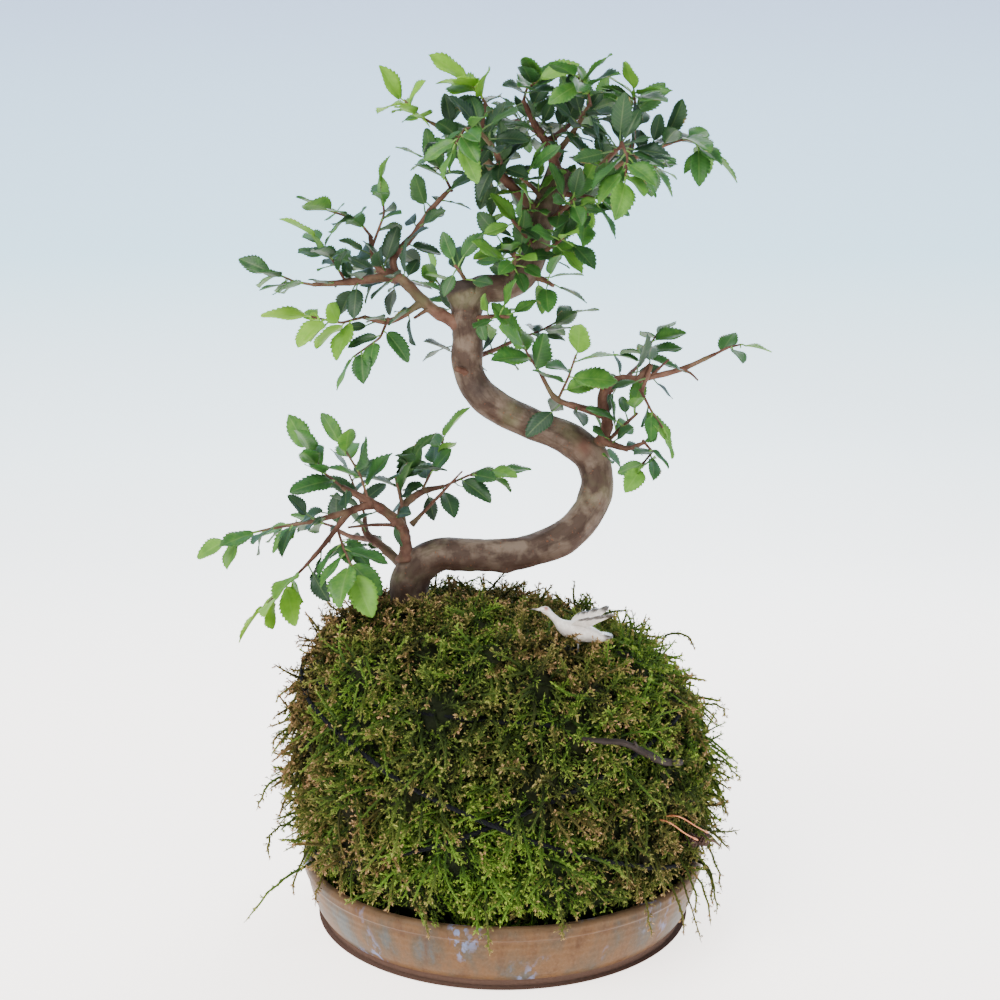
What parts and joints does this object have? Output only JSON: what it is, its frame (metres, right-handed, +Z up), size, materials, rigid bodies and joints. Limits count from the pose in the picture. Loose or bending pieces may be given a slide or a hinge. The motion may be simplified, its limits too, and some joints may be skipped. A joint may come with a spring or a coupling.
{
  "type": "elm kokedama on a saucer",
  "caption": "Small serpentine elm bonsai rooted in a cord-bound moss ball that stands in a shallow glazed stoneware saucer, with a tiny crane on the moss.",
  "frame": {"origin": "centre of the saucer's flat underside", "axes": "+Z up along the tree, +X to the side of the long right-hand branch, +Y to the back"},
  "size_m": [0.1928, 0.1445, 0.2919],
  "materials": {
    "stoneware_glaze": "mottled semi-gloss glaze, tan over blue-grey with rust streaks; bare clay foot",
    "soil": "damp crumbly soil",
    "moss": "feathery sheet moss, green with tan tips",
    "cord": "twisted cord, matt",
    "trunk_bark": "young elm bark, grey-brown with rust pores",
    "twig_bark": "smooth red-brown twig bark",
    "leaf_green": "grown leaf, soft sheen",
    "leaf_dark": "older leaf, blue-green with a sheen",
    "leaf_young": "young leaf, pale yellow-green",
    "dead_wood": "dry twig",
    "cone": "rough brown scales",
    "moss_stalk": "wiry, matt orange-red",
    "china": "white glaze with dark wing tips",
    "pin_steel": "thin wire"
  },
  "bodies": {
    "root": {"saucer": "stoneware_glaze", "soil_core": "soil", "moss_mat": "moss", "cord_round_level": "cord", "cord_round_right": "cord", "cord_round_left": "cord", "trunk": "trunk_bark", "branch_lower_left": "twig_bark", "branch_arching": "twig_bark", "branch_upper_left": "twig_bark", "branch_back": "twig_bark", "branch_right": "twig_bark", "branch_crown_left": "twig_bark", "branch_crown_right": "twig_bark", "branch_crown_top": "twig_bark", "shoot_01": "leaf_green", "shoot_02": "leaf_young", "shoot_03": "leaf_green", "shoot_04": "leaf_green", "shoot_05": "leaf_green", "shoot_06": "leaf_dark", "shoot_07": "leaf_green", "shoot_08": "leaf_green", "shoot_09": "leaf_dark", "shoot_10": "leaf_green", "shoot_11": "leaf_green", "shoot_12": "leaf_green", "shoot_13": "leaf_green", "shoot_14": "leaf_green", "shoot_15": "leaf_young", "shoot_16": "leaf_green", "shoot_17": "leaf_dark", "shoot_18": "leaf_green", "shoot_19": "leaf_green", "shoot_20": "leaf_dark", "shoot_21": "leaf_green", "shoot_22": "leaf_green", "shoot_23": "leaf_green", "shoot_24": "leaf_green", "shoot_25": "leaf_green", "shoot_26": "leaf_green", "shoot_27": "leaf_young", "shoot_28": "leaf_young", "shoot_29": "leaf_green", "shoot_30": "leaf_green", "shoot_31": "leaf_green", "shoot_32": "leaf_green", "shoot_33": "leaf_green", "shoot_34": "leaf_green", "shoot_35": "leaf_green", "shoot_36": "leaf_green", "shoot_37": "leaf_green", "shoot_38": "leaf_green", "dead_twig": "dead_wood", "cone_pair": "cone", "moss_stalk_1": "moss_stalk", "moss_stalk_2": "moss_stalk", "crane_figurine": "china", "crane_pin": "pin_steel"}
  },
  "joints": []
}
